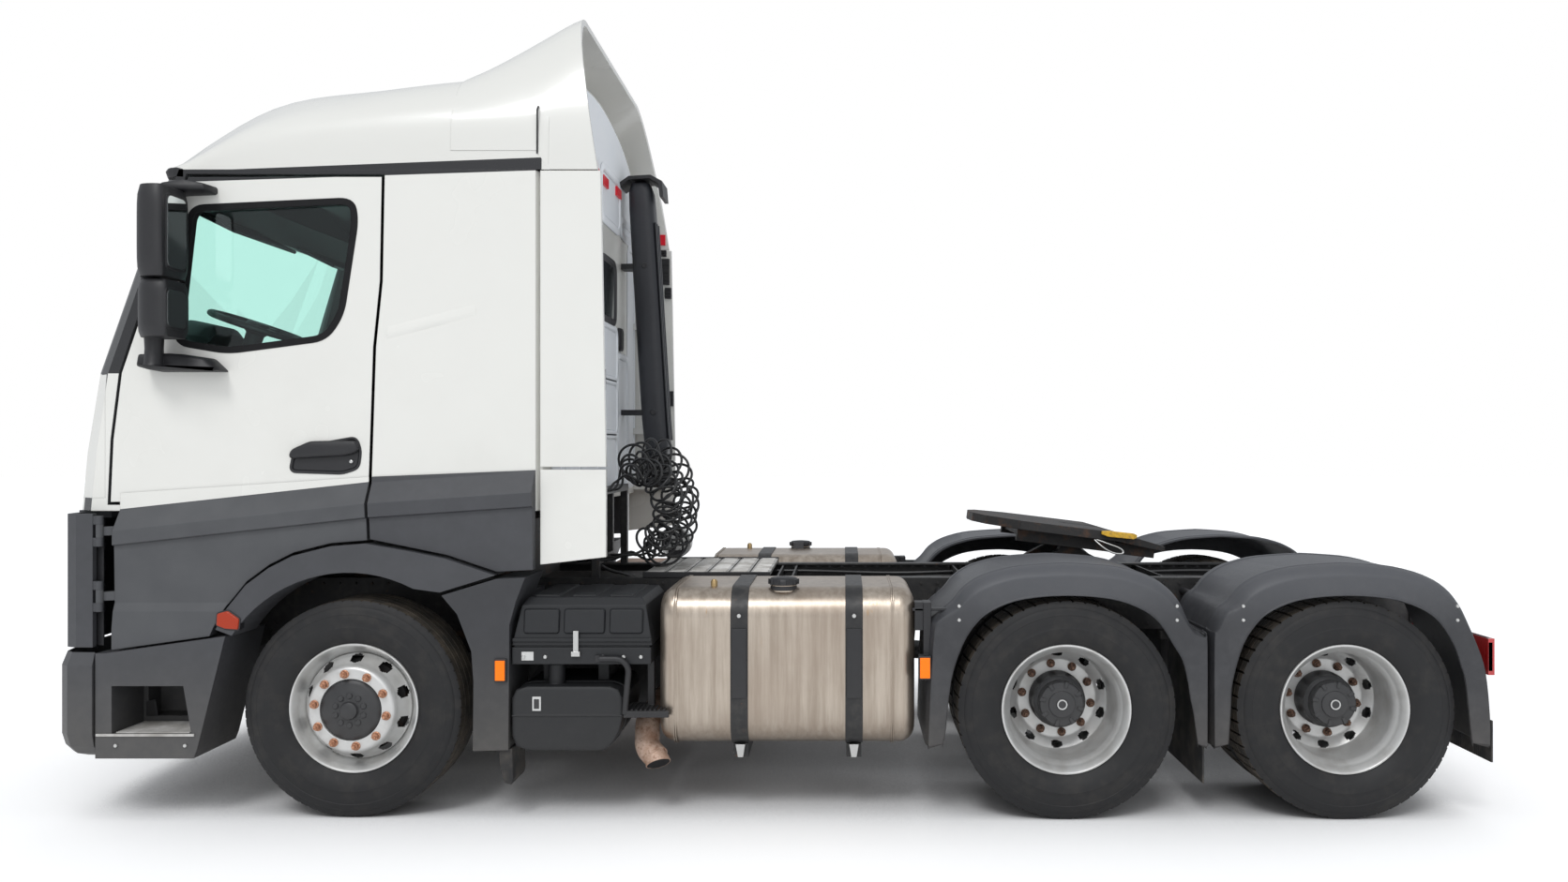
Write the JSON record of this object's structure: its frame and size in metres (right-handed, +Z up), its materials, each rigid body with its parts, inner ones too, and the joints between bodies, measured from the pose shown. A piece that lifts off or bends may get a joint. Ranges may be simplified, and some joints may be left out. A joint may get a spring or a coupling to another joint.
{
  "type": "tractor unit",
  "caption": "Cab-over tractor unit with a tilting high-roof sleeper cab, steered front wheels, twin rear wheels on a bogie and a rocking coupling plate.",
  "frame": {"origin": "on the ground, under the middle of the overall length and width", "axes": "+X forward, +Y to the left of the driver, +Z up"},
  "size_m": [6.725, 2.9, 3.8495],
  "materials": {
    "cab_paint": "gloss",
    "grey_plastic": "matte",
    "frame_black": "satin",
    "engine": "matte",
    "glass": "gloss",
    "tyre": "matte",
    "rim": "satin",
    "tank": "brushed",
    "lamp": "gloss",
    "rubber": "matte",
    "cloth": "matte"
  },
  "bodies": {
    "chassis": {"axles": "frame_black", "battery_box": "grey_plastic", "catwalk": "tank", "crossmembers": "frame_black", "driveline": "frame_black", "engine_block": "engine", "exhaust": "frame_black", "fifth_wheel_base": "frame_black", "frame_rails": "frame_black", "front_bumper": "grey_plastic", "front_mudguards": "grey_plastic", "fuel_tanks": "tank", "hose_control": "rubber", "hose_electric": "rubber", "hose_rack": "frame_black", "hose_supply": "rubber", "lamps": "lamp", "mudflaps": "rubber", "rear_fenders": "grey_plastic", "side_step": "frame_black", "step_boxes": "grey_plastic", "suspension": "frame_black", "tank_straps": "frame_black", "urea_tank": "grey_plastic"},
    "cab": {"cab_shell": "cab_paint", "front_panel": "cab_paint", "cab_glass": "glass", "cab_roof": "cab_paint", "roof_spoiler": "cab_paint", "side_fairings": "cab_paint", "grille": "grey_plastic", "cab_lower_panels": "grey_plastic", "cab_arms": "frame_black", "dashboard": "grey_plastic", "seats": "cloth", "steering_wheel": "frame_black", "intake_stack": "grey_plastic"},
    "fifth_wheel": {"fifth_wheel_plate": "frame_black"},
    "door_left": {"door_left": "cab_paint", "door_glass_left": "glass", "mirror_left": "grey_plastic"},
    "knuckle_left": {"knuckle_left": "frame_black"},
    "wheel_front_left": {"front_left_tyre": "tyre", "front_left_rim": "rim"},
    "wheel_rear1_left": {"rear1_left_tyres": "tyre", "rear1_left_rims": "rim"},
    "wheel_rear2_left": {"rear2_left_tyres": "tyre", "rear2_left_rims": "rim"},
    "door_right": {"door_right": "cab_paint", "door_glass_right": "glass", "mirror_right": "grey_plastic"},
    "knuckle_right": {"knuckle_right": "frame_black"},
    "wheel_front_right": {"front_right_tyre": "tyre", "front_right_rim": "rim"},
    "wheel_rear1_right": {"rear1_right_tyres": "tyre", "rear1_right_rims": "rim"},
    "wheel_rear2_right": {"rear2_right_tyres": "tyre", "rear2_right_rims": "rim"}
  },
  "joints": [
    {"name": "steer_left", "type": "hinge", "parent": "chassis", "child": "knuckle_left", "pos_m": [1.9225, 0.944, 0.505], "axis": [0, 0, 1], "range_deg": [-38, 38]},
    {"name": "front_left_spin", "type": "hinge", "parent": "knuckle_left", "child": "wheel_front_left", "pos_m": [1.9225, 1.045, 0.505], "axis": [0, 1, 0], "continuous": true},
    {"name": "rear1_left_spin", "type": "hinge", "parent": "chassis", "child": "wheel_rear1_left", "pos_m": [-1.3775, 0.9015, 0.505], "axis": [0, 1, 0], "continuous": true},
    {"name": "rear2_left_spin", "type": "hinge", "parent": "chassis", "child": "wheel_rear2_left", "pos_m": [-2.6625, 0.9015, 0.505], "axis": [0, 1, 0], "continuous": true},
    {"name": "door_left_hinge", "type": "hinge", "parent": "cab", "child": "door_left", "pos_m": [3.0725, 1.215, 1.2], "axis": [0, 0, -1], "range_deg": [0, 75]},
    {"name": "steer_right", "type": "hinge", "parent": "chassis", "child": "knuckle_right", "pos_m": [1.9225, -0.944, 0.505], "axis": [0, 0, 1], "range_deg": [-38, 38]},
    {"name": "front_right_spin", "type": "hinge", "parent": "knuckle_right", "child": "wheel_front_right", "pos_m": [1.9225, -1.045, 0.505], "axis": [0, 1, 0], "continuous": true},
    {"name": "rear1_right_spin", "type": "hinge", "parent": "chassis", "child": "wheel_rear1_right", "pos_m": [-1.3775, -0.9015, 0.505], "axis": [0, 1, 0], "continuous": true},
    {"name": "rear2_right_spin", "type": "hinge", "parent": "chassis", "child": "wheel_rear2_right", "pos_m": [-2.6625, -0.9015, 0.505], "axis": [0, 1, 0], "continuous": true},
    {"name": "door_right_hinge", "type": "hinge", "parent": "cab", "child": "door_right", "pos_m": [3.0725, -1.215, 1.2], "axis": [0, 0, 1], "range_deg": [0, 75]},
    {"name": "cab_tilt", "type": "hinge", "parent": "chassis", "child": "cab", "pos_m": [3.2125, 0, 0.85], "axis": [0, 1, 0], "range_deg": [0, 60]},
    {"name": "fifth_wheel_tilt", "type": "hinge", "parent": "chassis", "child": "fifth_wheel", "pos_m": [-1.5755, 0, 1.236], "axis": [0, 1, 0], "range_deg": [0, 18]}
  ],
  "couplings": [
    {"joint": "steer_right", "follows": "steer_left", "ratio": 1}
  ]
}
